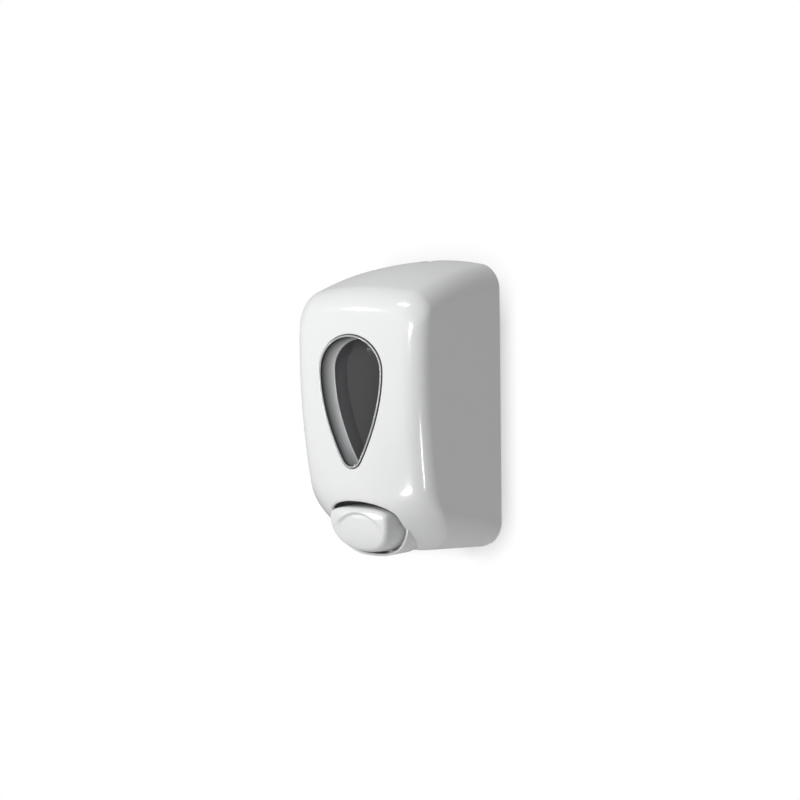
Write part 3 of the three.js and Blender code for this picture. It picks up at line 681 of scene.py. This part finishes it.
for amount, depth in flare:
    ring = []
    for (x0, z0), (x, z) in zip(base, oval_outline(OPENING, amount)):
        share = 1 if z0 > COLLAR_TOP else 0.3
        x, z = x0 + (x - x0) * share, z0 + (z - z0) * share
        ring.append((x, opening_front(x, z0) + depth * (share if depth < 5 else 1), z))
    flared.append(ring)
flared.append([(x, THROAT_Y, z) for x, z in oval_outline(OPENING, 0)])
work(cover, [pulled_skin("opening_tool", flared, (0, -112, opening_middle), (0, THROAT_Y, opening_middle))])
HINGE = (0, -10, -101.5)
for side, post in ((-1, LEFT_POST), (1, POST)):
    near, far = sorted((side * 24, side * 29.5))
    lug = [rod(4, near, far, "x", HINGE), block((near, far), (-18, -10), (-106, -101.5))]
    work(cover, lug, "UNION")
    work(cover, [rod(2.05, near - 1, far + 1, "x", HINGE), rod(1.6, -66, -50, "y", post)])
work(cover, [
    rod(6.5, -115, -100, "z", (0, -52, 0)),
    rod(6.1, 103, 115, "z", (0, -16, 0)),
    rod(4.9, 97, 106, "z", (0, -16, 0)),
])
hand_over(cover, "front_cover", "cover")

# %% [markdown]
# ## The window
# A clear cup moulded in one piece: a rounded bead that stands a little proud round the opening, a
# sloping wall and a flat sunken pane. It is pulled loop by loop like the cover, and a value kept on
# its points paints light and shade into its colour: painted light makes the sloping wall pale and
# paler towards the pane and the bead mid grey between dark lines, and painted shade makes the pane
# dark, for the dark inside seen through it.

# %% Window
CUP_DEPTH = 14
cup_steps = [
    (-3.7, CUP_DEPTH), (-3.3, 13.87), (-3.0, 13.5), (-2.85, 12.8), (-2.5, 6.5), (-2.3, 0.5),
    (-2.1, -0.15), (-1.7, -0.6), (-1.2, -0.75), (-0.75, -0.6), (-0.4, -0.15), (-0.3, 0.4), (-0.3, 2.9),
    (2.5, 2.9), (2.5, 4.4), (-1.2, 4.4), (-1.6, 15.4), (-2, 16),
]
pane_steps = [(-9, CUP_DEPTH), (-16, CUP_DEPTH), (-23, CUP_DEPTH)]
rear_steps = [(-9, 16), (-16, 16), (-23, 16)]


def shrunk_ring(amount, depth):
    """The outline drawn in towards the middle of the window, for the flat of the pane."""
    share = 1 + (amount + 5.2) / 26
    outline = [(x * share, 16 + (z - 16) * share) for x, z in drop_outline(-5.2)]
    return [(x, -(front_depth(x, z) - depth), z) for x, z in outline]


lens_rings = [shrunk_ring(*step) for step in pane_steps[::-1]] + front_rings(drop_outline, cup_steps)
lens_rings += [shrunk_ring(*step) for step in rear_steps]
lens = pulled_skin(
    "window_cup", lens_rings, (0, -(front_depth(0, 16) - 14), 16), (0, -(front_depth(0, 16) - 16), 16))
# Painted light and shade on the cup: pale on the sloping wall and paler towards the pane, mid grey on the
# bead, dark on the pane and elsewhere.
painted_light_values = lens.data.attributes.new("cup_painted_light_and_shade", "FLOAT", "POINT")
for number, point in enumerate(lens.data.vertices):
    x, y, z = point.co / MM
    behind = front_depth(x, z) + y
    on_wall = smooth((behind - 0.6) / 1.5) * smooth((CUP_DEPTH + 0.05 - behind) / 0.5)
    on_bead = smooth((-0.2 - behind) / 0.3)
    painted_light_inwards = 0.25 + 0.75 * (behind / CUP_DEPTH) ** 2
    painted_light_values.data[number].value = on_wall * painted_light_inwards + 0.5 * on_bead
hand_over(lens, "window_lens", "cover", angle=50)

# %% [markdown]
# ## The push button
# A thick-edged cap that leans back towards its foot, with a shallow dish for the fingers and a soft
# roll all round its face. Its skirt runs back into the opening.

# %% Button
BUTTON_FRONT = {"half": 28.3, "middle": -81.5, "top": -73.8, "bottom": -107.6, "upper": 2.6, "lower": 2.4}
BUTTON_REAR = {"half": 31, "middle": -81, "top": -71.4, "bottom": -107.9, "upper": 2.2, "lower": 2.7}
BUTTON_FACE = -96
BUTTON_SKIN = 2.2
ROLL = 3.2
FACE_LOOPS = 22
DISH_TOP = -77.4


def button_face(x, z):
    """The face: level at the top and curving back below, with a shallow finger dish."""
    lean = max(0, -78 - z) ** 2 / (2 * 47) + x * x / 2000
    below_edge = DISH_TOP - 0.02 * x * x - z
    dish = smooth(below_edge / 2.2) * (1 - smooth((-84 - z) / 18)) * (1 - smooth((abs(x) - 16) / 8))
    return BUTTON_FACE + lean + 1.8 * dish


def skirt_rear(z):
    share = min(1, max(0, (z + 84) / 7))
    return -70 - 8.6 * share * share * (3 - 2 * share)


def button_skin(name, inset, rear):
    """The button's form filled, from the middle of its face over the roll and back to its rear."""
    middle = BUTTON_FRONT["middle"] - 6
    rim = oval_outline(BUTTON_FRONT, -ROLL - inset)
    shares = [step / FACE_LOOPS for step in range(1, FACE_LOOPS)]
    flats = [[(x * share, middle + (z - middle) * share) for x, z in rim] for share in shares]
    rings = [[(x, button_face(x, z) + inset, z) for x, z in ring] for ring in flats]
    for step in range(9):
        turn = math.pi / 2 * step / 8
        ring = oval_outline(BUTTON_FRONT, -ROLL * (1 - math.sin(turn)) - inset)
        back = (ROLL + 0.6) * (1 - math.cos(turn)) + inset
        rings.append([(x, button_face(x, z) + back, z) for x, z in ring])
    front = rings[-1]
    last = [(x, rear(z), z) for x, z in oval_outline(BUTTON_REAR, -inset)]
    for step in (0.33, 0.67, 1.0):
        rings.append([tuple(Vector(a).lerp(Vector(b), step)) for a, b in zip(front, last)])
    return pulled_skin(name, rings, (0, button_face(0, middle) + inset, middle), (0, rear(middle), middle))


button = button_skin("push_button_cap", 0, skirt_rear)
work(button, [button_skin("button_hollow", BUTTON_SKIN, lambda z: -66)])
stock = [rod(6, -98, -80.3, "y", (0, 0, -89))]
for side in (-1, 1):
    stock.append(block(sorted((side * 18.5, side * 21.5)), (-98, -51.5), (-95, -84)))
for piece in stock:
    work(piece, [button_skin("button_form", 0.3, lambda z: -51.4)], "INTERSECT")
work(button, stock, "UNION")
for side in (-1, 1):
    work(button, [block(sorted((side * 21, side * 23.3)), (-53.2, -51.5), (-94, -86))], "UNION")
hand_over(button, "push_button", "button", angle=40)

# %% [markdown]
# ## Turned pieces
# Nuts, seals, pins and nozzles are all round, so each is a short profile of radius and height, with
# its corners softened, carried round its own line. A profile that starts and ends on the line is
# solid, and any other one makes a ring.

# %% Turned pieces: the helper
def softened(profile, radius):
    """The profile with each corner off the axis replaced by a small arc."""
    ring = profile[0][0] > 0
    points = []
    for number, corner in enumerate(profile):
        here = Vector(corner)
        before, after = Vector(profile[number - 1]), Vector(profile[(number + 1) % len(profile)])
        if not ring and number in (0, len(profile) - 1):
            points.append(tuple(here))
            continue
        into = here.lerp(before, min(0.4, radius / (before - here).length))
        out = here.lerp(after, min(0.4, radius / (after - here).length))
        for share in (0, 0.33, 0.67, 1):
            points.append(tuple(into.lerp(here, share).lerp(here.lerp(out, share), share)))
    return points


def turned(name, profile, along, place, radius=0.3, sides=64):
    """The profile carried round the line through place, with its corners softened by radius."""
    def spot(r, height, angle):
        a, b = r * math.cos(angle), r * math.sin(angle)
        point = {"x": (height, a, b), "y": (a, height, b), "z": (a, b, height)}[along]
        return tuple(p + q for p, q in zip(point, place))

    points = softened(profile, radius)
    circle = [2 * math.pi * number / sides for number in range(sides)]
    if profile[0][0] > 0:
        return pulled_skin(name, [[spot(r, h, a) for a in circle] for r, h in points])
    rings = [[spot(r, h, a) for a in circle] for r, h in points[1:-1]]
    return pulled_skin(name, rings, spot(0, points[0][1], 0), spot(0, points[-1][1], 0))


# %% Turned pieces: the table
PUMP_LINE = (0, 0, -89)
NECK = (0, -36, 0)
NOZZLE = (0, -52, 0)
LOCK = (0, -16, 0)
TURNED = [
    ("tank_gasket_ring", "tank_gasket", "root", "z", NECK, 0.35,
     [(6.6, -70.4), (9.2, -70.4), (9.2, -69.3), (6.6, -69.3)]),
    ("pump_gland_ring", "pump_gland", "root", "y", PUMP_LINE, 0.4,
     [(3.4, -64), (10.8, -64), (10.8, -56), (9.3, -56), (9.3, -61.8), (3.4, -61.8)]),
    ("gland_seal_ring", "gland_seal", "root", "y", PUMP_LINE, 0.35,
     [(3.3, -61.3), (7.2, -61.3), (7.2, -59.3), (3.3, -59.3)]),
    ("inlet_valve_umbrella", "inlet_valve", "root", "z", NECK, 0.2,
     [(0, -73.6), (1.4, -73.6), (2, -72.2), (3.3, -72.2), (3.3, -73.4), (2.4, -73.8), (0.5, -76.2),
      (0, -76.2)]),
    ("channel_plug_cap", "channel_plug", "root", "y", (0, 0, -101), 0.3,
     [(0, -34.6), (1.5, -34.6), (1.5, -32.7), (3, -32.7), (3, -31.4), (0, -31.4)]),
    ("outlet_nozzle_tube", "outlet_nozzle", "root", "z", NOZZLE, 0.25,
     [(2.4, -109.8), (3.2, -109.8), (3.2, -106.4), (4.2, -106.4), (4.2, -104.3), (2.3, -104.3),
      (2.3, -101.6), (1.2, -101.6), (1.2, -105.5), (2.4, -105.5)]),
    ("outlet_valve_bill", "outlet_valve", "root", "z", NOZZLE, 0.2,
     [(0, -110.1), (0.5, -110.1), (1.5, -107.4), (2.1, -107.1), (2.1, -105.8), (0, -105.8)]),
    ("plunger_cap_cup", "plunger_cap", "plunger", "y", PUMP_LINE, 0.6,
     [(0, -80), (6, -80), (6, -76.5), (3.3, -76.5), (3.3, -78.8), (0, -78.8)]),
    ("piston_rod_shaft", "piston_rod", "plunger", "y", PUMP_LINE, 0.4,
     [(0, -78.5), (3, -78.5), (3, -50.7), (4.6, -50.7), (4.6, -49.2), (0, -49.2)]),
    ("piston_ring", "piston", "plunger", "y", PUMP_LINE, 0.3,
     [(3.3, -57.5), (7, -57.5), (7, -55.6), (5.3, -55.6), (5.3, -53), (7, -53), (7, -51), (3.3, -51)]),
    ("piston_seal_ring", "piston_seal", "plunger", "y", PUMP_LINE, 0.8,
     [(5.65, -55.1), (7.25, -55.1), (7.25, -53.5), (5.65, -53.5)]),
    ("hinge_pin_left_shank", "hinge_pin_left", "root", "x", HINGE, 0.3,
     [(0, -35.5), (2.8, -35.5), (2.8, -34.3), (1.75, -34.3), (1.75, -23.5), (0, -23.5)]),
    ("hinge_pin_right_shank", "hinge_pin_right", "root", "x", HINGE, 0.3,
     [(0, 35.5), (2.8, 35.5), (2.8, 34.3), (1.75, 34.3), (1.75, 23.5), (0, 23.5)]),
]
for name, node, body, along, place, radius, profile in TURNED:
    hand_over(turned(name, profile, along, place, radius), node, body)

# %% [markdown]
# ## Pieces with flats, slots and ribs
# The nut has ribs for the fingers, the screws have driver slots, and the lock's hexagon nut is a
# six-sided ring. Each begins as a turned piece and is finished with small cuts or additions.

# %% Union nut, lock nut and screws
nut_profile = [(6, -74.5), (13.5, -74.5), (13.5, -62), (10, -62), (10, -72.4), (6, -72.4)]
nut = turned("union_nut_ribbed", nut_profile, "z", NECK, 0.6, 96)
ribs = []
for number in range(16):
    angle = 2 * math.pi * number / 16
    spot = (13.3 * math.cos(angle), NECK[1] + 13.3 * math.sin(angle), 0)
    ribs.append(turned("rib", [(0, -73.6), (1.4, -73.6), (1.4, -62.9), (0, -62.9)], "z", spot, 0.6, 24))
work(nut, ribs, "UNION")
hand_over(nut, "union_nut")

lock_nut = turned("lock_nut_hexagon", [(4.9, 95), (8.5, 95), (8.5, 98.7), (4.9, 98.7)], "z", LOCK, 0.3, 96)
work(lock_nut, [rod(8.5, 94, 99.5, "z", LOCK, "hexagon", 6)], "INTERSECT")
hand_over(lock_nut, "lock_nut", "cover")

GUIDE_SCREW = [(0, -65), (1.3, -65), (1.3, -53.2), (3.2, -53.2), (2.8, -51.3), (0, -51.1)]
for word, spot in (("left", LEFT_POST), ("right", POST)):
    screw = turned(f"guide_screw_{word}_cross", GUIDE_SCREW, "y", spot, 0.25)
    x = spot[0]
    work(screw, [block((x - 1.7, x + 1.7), (-52.1, -50), (-90.4, -89.6)),
                 block((x - 0.4, x + 0.4), (-52.1, -50), (-91.7, -88.3))])
    hand_over(screw, f"guide_screw_{word}", "cover")
CAM_SCREW = [(0, 81.3), (3.6, 81.3), (4, 81.9), (4, 83.4), (1.1, 83.4), (1.1, 89), (0, 89)]
cam_screw = turned("cam_screw_slotted", CAM_SCREW, "z", LOCK, 0.25)
work(cam_screw, [block((-2.6, 2.6), (-16.5, -15.5), (81, 82.1))])
hand_over(cam_screw, "cam_screw", "lock")

# %% Lock housing and barrel, flush with the cover's top
def to_form(obj, inset):
    return work(obj, [cover_skin("form", inset, RIM)], "INTERSECT")


housing_profile = [(3.5, 88), (4.6, 88), (4.6, 103.3), (5.8, 103.3), (5.8, 112), (3.5, 112)]
housing = turned("lock_housing_ring", housing_profile, "z", LOCK, 0.2)
hand_over(to_form(housing, 0.15), "lock_housing", "cover")
barrel = turned("lock_barrel_slotted", [(0, 86.3), (3.2, 86.3), (3.2, 112), (0, 112)], "z", LOCK, 0.2)
to_form(barrel, 0.45)
work(barrel, [block((-2, 2), (-18, -14), (83.9, 87), 0.2)], "UNION")
work(barrel, [block((-0.5, 0.5), (-18.3, -13.7), (103, 112)), rod(1.4, 82, 90, "z", LOCK)])
hand_over(barrel, "lock_barrel", "lock")

# %% Lock cam and keeper
cam = turned("lock_cam_blade", [(0, 83.7), (5.5, 83.7), (5.5, 85.7), (0, 85.7)], "z", LOCK, 0.3)
work(cam, [block((-4, 4), (-16, -5), (83.7, 85.7), 0.3)], "UNION")
work(cam, [block((-2.3, 2.3), (-18.3, -13.7), (82, 87))])
hand_over(cam, "lock_cam", "lock")
keeper = block((6.5, 11), (-23.3, -4), (81.1, 83.1), 0.3, "lock_keeper_bracket")
work(keeper, [block((6.5, 11), (-23.3, -20.8), (81.1, 88), 0.3),
              block((6.5, 11), (-5, -3.3), (77.5, 85.1), 0.3)], "UNION")
hand_over(keeper, "lock_keeper")

# %% [markdown]
# ## The wall plate
# A flat tray with rounded corners and a rolled edge, screw holes sunk for their heads, two ribs for
# the tank to lean on, a shelf on gussets that carries the pump, and the ears of the hinge.

# %% Wall plate
def plate_outline(amount):
    """The plate's outline grown by amount, from the wall plate's own half width and corners."""
    radius = 25 + amount
    half, low, high = 55 + amount, -91.5 - amount, 100 + amount
    return rounded_outline([
        (half - radius, low + radius, radius), (half - radius, high - radius, radius),
        (radius - half, high - radius, radius), (radius - half, low + radius, radius)])


PLATE_STEPS = [(-0.6, 0), (-0.25, -0.15), (0, -0.5), (0, -2.3), (-0.2, -2.8), (-0.7, -3), (-3, -3),
               (-3.3, -2.8), (-3.6, -2.4), (-4.2, -2.4)]
plate = pulled_skin(
    "wall_plate_tray", [[(x, y, z) for x, z in plate_outline(amount)] for amount, y in PLATE_STEPS],
    (0, 0, 0), (0, -2.4, 0))
additions = [block((-34.5, 34.5), (-3, 0), (-107, -89), 0.5), block((-36, 36), (-74, -1), (-61, -58.5), 0.6)]
for side in (-1, 1):
    near, far = sorted((side * 30, side * 34))
    additions += [
        block(sorted((side * 30, side * 33)), (-5.6, -1), (-50, 55), 0.5),
        block((near, far), (-10, -1), (-101.5, -96.5), 0.2),
        rod(3, near, far, "x", HINGE),
    ]
    gusset = block(sorted((side * 31.75, side * 34.25)), (-68, -1), (-80.5, -59.5))
    only(gusset)
    bpy.ops.object.mode_set(mode="EDIT")
    bpy.ops.mesh.select_all(action="SELECT")
    bpy.ops.mesh.bisect(
        plane_co=(0, -6 * MM, -80.5 * MM), plane_no=(0, -16, -62), use_fill=True, clear_outer=True)
    bpy.ops.mesh.select_all(action="SELECT")
    bpy.ops.mesh.bevel(offset=0.4 * MM, segments=2, affect="EDGES")
    bpy.ops.object.mode_set(mode="OBJECT")
    additions.append(gusset)
    for height in (45, 0, -45):
        additions.append(block(sorted((side * 33, side * 50)), (-3.4, -2), (height - 0.8, height + 0.8), 0.3))
work(plate, additions, "UNION")
cuts = [rod(10.2, -64, -56, "z", NECK)]
for side in (-1, 1):
    for x, z in ((42, 80), (42, -78)):
        sink = turned("sink", [(0, -6), (4.8, -6), (4.8, -1.6), (2.6, -1.6), (2.6, 2), (0, 2)], "y",
                      (side * x, 0, z), 0.2)
        cuts.append(sink)
    cuts.append(rod(2.05, *sorted((side * 29, side * 35)), "x", HINGE))
work(plate, cuts)
hand_over(plate, "wall_plate")

# %% [markdown]
# ## Tank, lid and pump
# The tank is one pull: up the outside, over the rolled flange, down the inside and across the
# floor. The lid is pulled the same way, with its plug and a tab for the fingers.

# %% Tank
def tank_outline(amount, radius=13):
    across, rear, front, corner = 47 + amount, -6 + amount, -80 - amount, radius + amount
    return rounded_outline([
        (across - corner, front + corner, corner), (across - corner, rear - corner, corner),
        (corner - across, rear - corner, corner), (corner - across, front + corner, corner)])


def tank_rings(steps):
    return [[(x, y, z) for x, y in tank_outline(amount)] for amount, z in steps]


TANK_STEPS = [(-3.5, -58.2), (-1.6, -57.7), (-0.5, -56.6), (0, -54.7), (0, 59.6), (0.2, 59.9), (1.2, 60.1),
              (1.5, 60.4), (1.5, 61.6), (1.2, 62), (-1.7, 62), (-2, 61.7), (-2, -53.5), (-2.6, -55.2),
              (-4.2, -56.2)]
tank = pulled_skin("tank_shell", tank_rings(TANK_STEPS), (0, -43, -58.2), (0, -43, -56.2))
work(tank, [rod(9.5, -69, -57.2, "z", NECK)], "UNION")
threads = [turned("thread", [(9, z - 0.5), (9.8, z), (9, z + 0.5)], "z", NECK, 0.1) for z in (-67, -65, -63)]
work(tank, threads, "UNION")
work(tank, [rod(6.5, -70, -55, "z", NECK)])
hand_over(tank, "tank")

# %% Tank lid
LID_STEPS = [
    (-3, 64), (0.6, 64), (1.05, 63.8), (1.2, 63.4), (1.2, 62.5), (1.0, 62.3), (-2.6, 62.3), (-2.6, 54.4),
    (-3, 54), (-4.1, 54), (-4.4, 54.4), (-4.4, 62.3),
]
lid = pulled_skin("tank_lid_plug", tank_rings(LID_STEPS), (0, -43, 64), (0, -43, 62.3))
work(lid, [block((-11, 11), (-72, -69), (63, 69), 0.8)], "UNION")
hand_over(lid, "tank_lid", "tank_lid")

# %% Pump body
pump = turned("pump_chamber", [(0, -28), (9, -28), (9, -61.5), (7.2, -61.5), (7.2, -31), (0, -31)],
              "y", PUMP_LINE, 0.4)
work(pump, [rod(5.5, -84, -70.7, "z", NECK), rod(9.2, -72.1, -70.7, "z", NECK),
            block((-4, 4), (-55.7, -33), (-104, -96.2), 0.5)], "UNION")
work(pump, [
    rod(7.5, -64, -30.5, "y", PUMP_LINE, "bore", 64),
    rod(3.6, -76.5, -70, "z", NECK), rod(2.2, -83, -76, "z", NECK), rod(1.8, -101, -95, "z", NECK),
    rod(1.8, -52, -32, "y", (0, 0, -101)), rod(2.6, -105, -100.5, "z", NOZZLE),
])
hand_over(pump, "pump_body")

# %% Button guides
for side, word, post in ((-1, "left", LEFT_POST), (1, "right", POST)):
    name = f"button_guide_{word}_plate"
    guide = block(sorted((side * 15, side * 43)), (-56.5, -53.5), (-97, -81.5), 0.6, name)
    work(guide, [block(sorted((side * 18.1, side * 21.9)), (-60, -50), (-95.4, -83.6)),
                 rod(1.7, -60, -50, "y", post)])
    hand_over(guide, f"button_guide_{word}", "cover")

# %% [markdown]
# ## The return spring
# A circle of wire carried along a helix by a screw modifier, made once in its resting shape. On the
# real dispenser the plunger squeezes it as the button goes in.

# %% Return spring
WIRE = 0.5
COIL = 6
TURNS = 6
bpy.ops.object.select_all(action="DESELECT")
bpy.ops.mesh.primitive_circle_add(
    vertices=14, radius=WIRE * MM, fill_type="NGON", location=(COIL * MM, 0, 0), rotation=(math.pi / 2, 0, 0))
spring = settle(bpy.context.object, "return_spring_coil")
coil = spring.modifiers.new("coil", "SCREW")
coil.angle = 2 * math.pi * TURNS
coil.screw_offset = 18 * MM
coil.steps = coil.render_steps = TURNS * 40
coil.axis = "Z"
bpy.ops.object.modifier_apply(modifier=coil.name)
spring.rotation_euler = (math.pi / 2, 0, 0)
spring.location = (0, -31.6 * MM, PUMP_LINE[2] * MM)
settle(spring, "return_spring_coil")
bpy.ops.object.mode_set(mode="EDIT")
bpy.ops.mesh.select_all(action="SELECT")
bpy.ops.mesh.remove_doubles(threshold=1e-7)
bpy.ops.mesh.normals_make_consistent(inside=False)
bpy.ops.object.mode_set(mode="OBJECT")
hand_over(spring, "return_spring", angle=60)
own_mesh(spring)

# %% [markdown]
# ## Small bright panels
# Glossy plastic shows the lamps of the room as small sharp highlights along its rounded edges. Each
# panel stands where a point on the surface mirrors it to the camera, so it is placed by reflection,
# and it lights only the piece it is meant for. One more lamp brightens the clear cup's sloping wall.

# %% Highlights
def only_on(light, piece):
    """Keeps the light to one piece."""
    if piece.name not in bpy.data.collections:
        bpy.data.collections.new(piece.name).objects.link(piece)
    light.light_linking.receiver_collection = bpy.data.collections[piece.name]
    light.visible_camera = False


def glint(name, x, z, size, strength, piece, away=0.45):
    """A small panel seen mirrored at the point of the piece that lies behind (x, z) in millimetres."""
    met, spot, normal, _ = piece.ray_cast(Vector((x, -200, z)) * MM, Vector((0, 1, 0)))
    if not met:
        raise ValueError(f"{name}: nothing lies at {x}, {z}")
    look = (spot - camera.location).normalized()
    way = look - 2 * look.dot(normal) * normal
    light = area_light(name, spot + way * away, size, strength * size[0] * size[1], spot)
    light.visible_diffuse = False
    light.visible_transmission = False
    only_on(light, piece)


GLINTS = [
    ("top_left_glint", 11, 71.6, (0.075, 0.034), 170, cover),
    ("top_right_glint", 47.5, 74.1, (0.13, 0.027), 170, cover),
    ("edge_strip", 54, 56, (0.08, 0.08), 110, cover),
    ("edge_line", 57, -34, (0.02, 0.12), 110, cover),
    ("low_blob", 43, -61, (0.12, 0.05), 110, cover),
    ("button_blob", 20.5, -79, (0.05, 0.04), 110, button),
    ("rim_line", 30.1, 22, (0.05, 0.2), 130, lens),
    ("rim_top", 12, 51, (0.05, 0.05), 130, lens),
    ("cup_inner_edge", -24.9, 25, (0.05, 0.25), 130, lens),
]
for name, x, z, size, strength, piece in GLINTS:
    glint(name, x, z, size, strength, piece)
cup_lamp = area_light("cup_lamp", (0.7, -0.5, 0.1), (0.4, 0.4), 3.6, (-0.02, -0.095, 0.01))
cup_lamp.visible_glossy = False
only_on(cup_lamp, lens)
print("highlights placed")

# %% Finish
print("scene finished")
